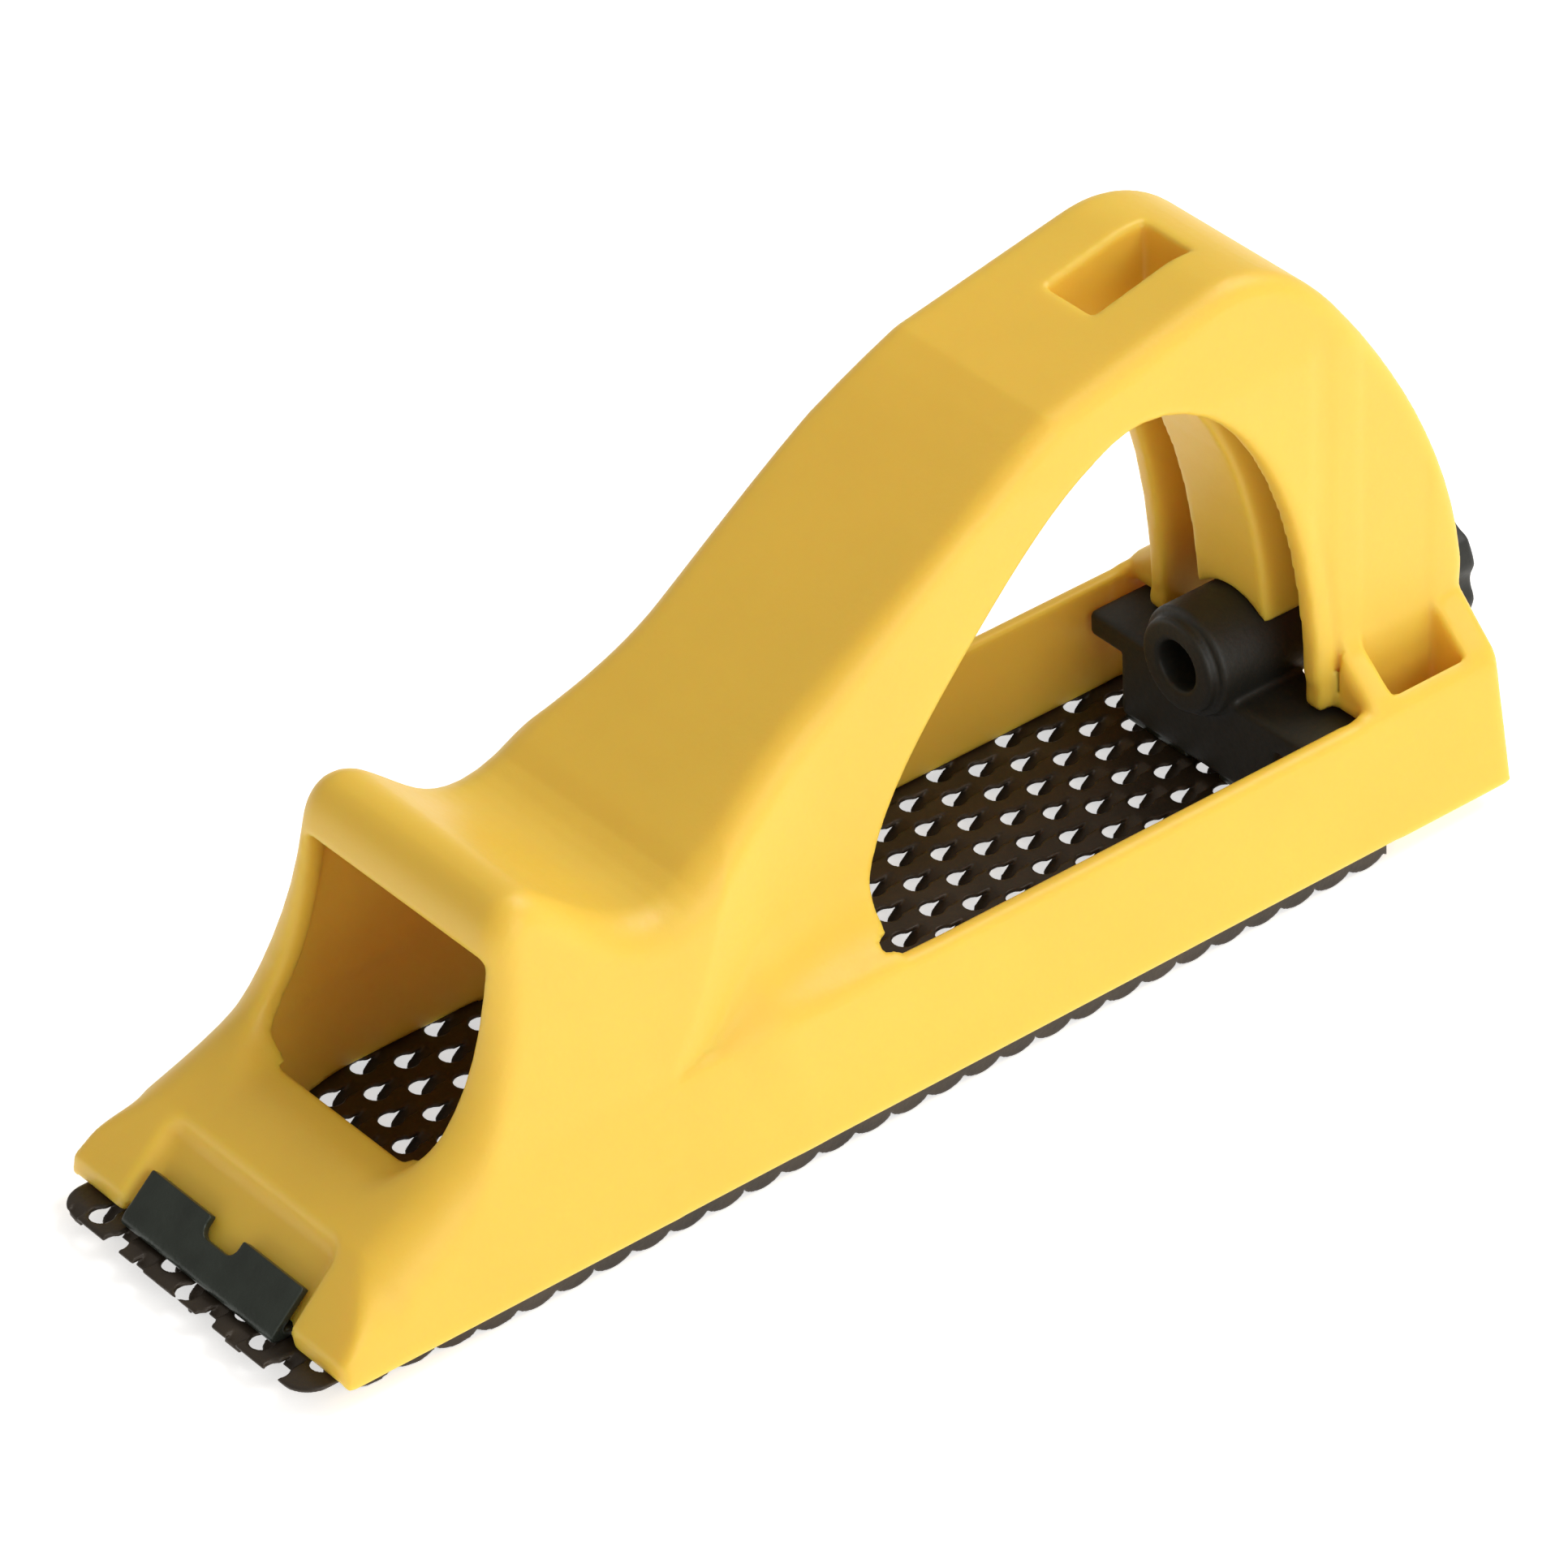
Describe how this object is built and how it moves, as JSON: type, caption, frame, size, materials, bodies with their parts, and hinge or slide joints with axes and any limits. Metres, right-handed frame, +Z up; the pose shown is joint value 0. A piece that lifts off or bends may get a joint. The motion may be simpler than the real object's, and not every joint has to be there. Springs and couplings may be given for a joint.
{
  "type": "rasp block plane",
  "caption": "Small rasp plane with an arched D handle, a horn in front, and a perforated toothed blade tensioned by a knob at the heel.",
  "frame": {"origin": "middle of the bounding box at its lowest level, which is the plane of the tooth tips", "axes": "+X towards the toe, +Y to the tool's left side, +Z up"},
  "size_m": [0.1606, 0.0458, 0.0694],
  "materials": {
    "body_plastic": "satin moulded plastic",
    "blade_steel": "dark oiled steel",
    "clip_steel": "dark phosphate",
    "black_plastic": "fine moulded texture",
    "zinc_steel": "zinc plated"
  },
  "bodies": {
    "body": {"body": "body_plastic"},
    "screw": {"tension_screw": "zinc_steel", "knob": "black_plastic", "thrust_washer": "zinc_steel", "retaining_ring": "zinc_steel"},
    "slider": {"tension_slider": "black_plastic", "slider_nut": "zinc_steel"},
    "blade": {"blade": "blade_steel", "front_clip": "clip_steel", "rear_clip": "clip_steel"}
  },
  "joints": [
    {"name": "knob_turn", "type": "hinge", "parent": "body", "child": "screw", "pos_m": [-0.0745, 0, 0.0172], "axis": [-1, 0, 0], "range_deg": [0, 1620]},
    {"name": "slider_slide", "type": "slide", "parent": "body", "child": "slider", "axis": [1, 0, 0], "range_m": [0, 0.0036]},
    {"name": "blade_slide", "type": "slide", "parent": "body", "child": "blade", "axis": [1, 0, 0], "range_m": [0, 0.0036]}
  ],
  "couplings": [
    {"joint": "knob_turn", "follows": "slider_slide", "rad_per_m": 7853.9},
    {"joint": "blade_slide", "follows": "slider_slide", "ratio": 1}
  ]
}
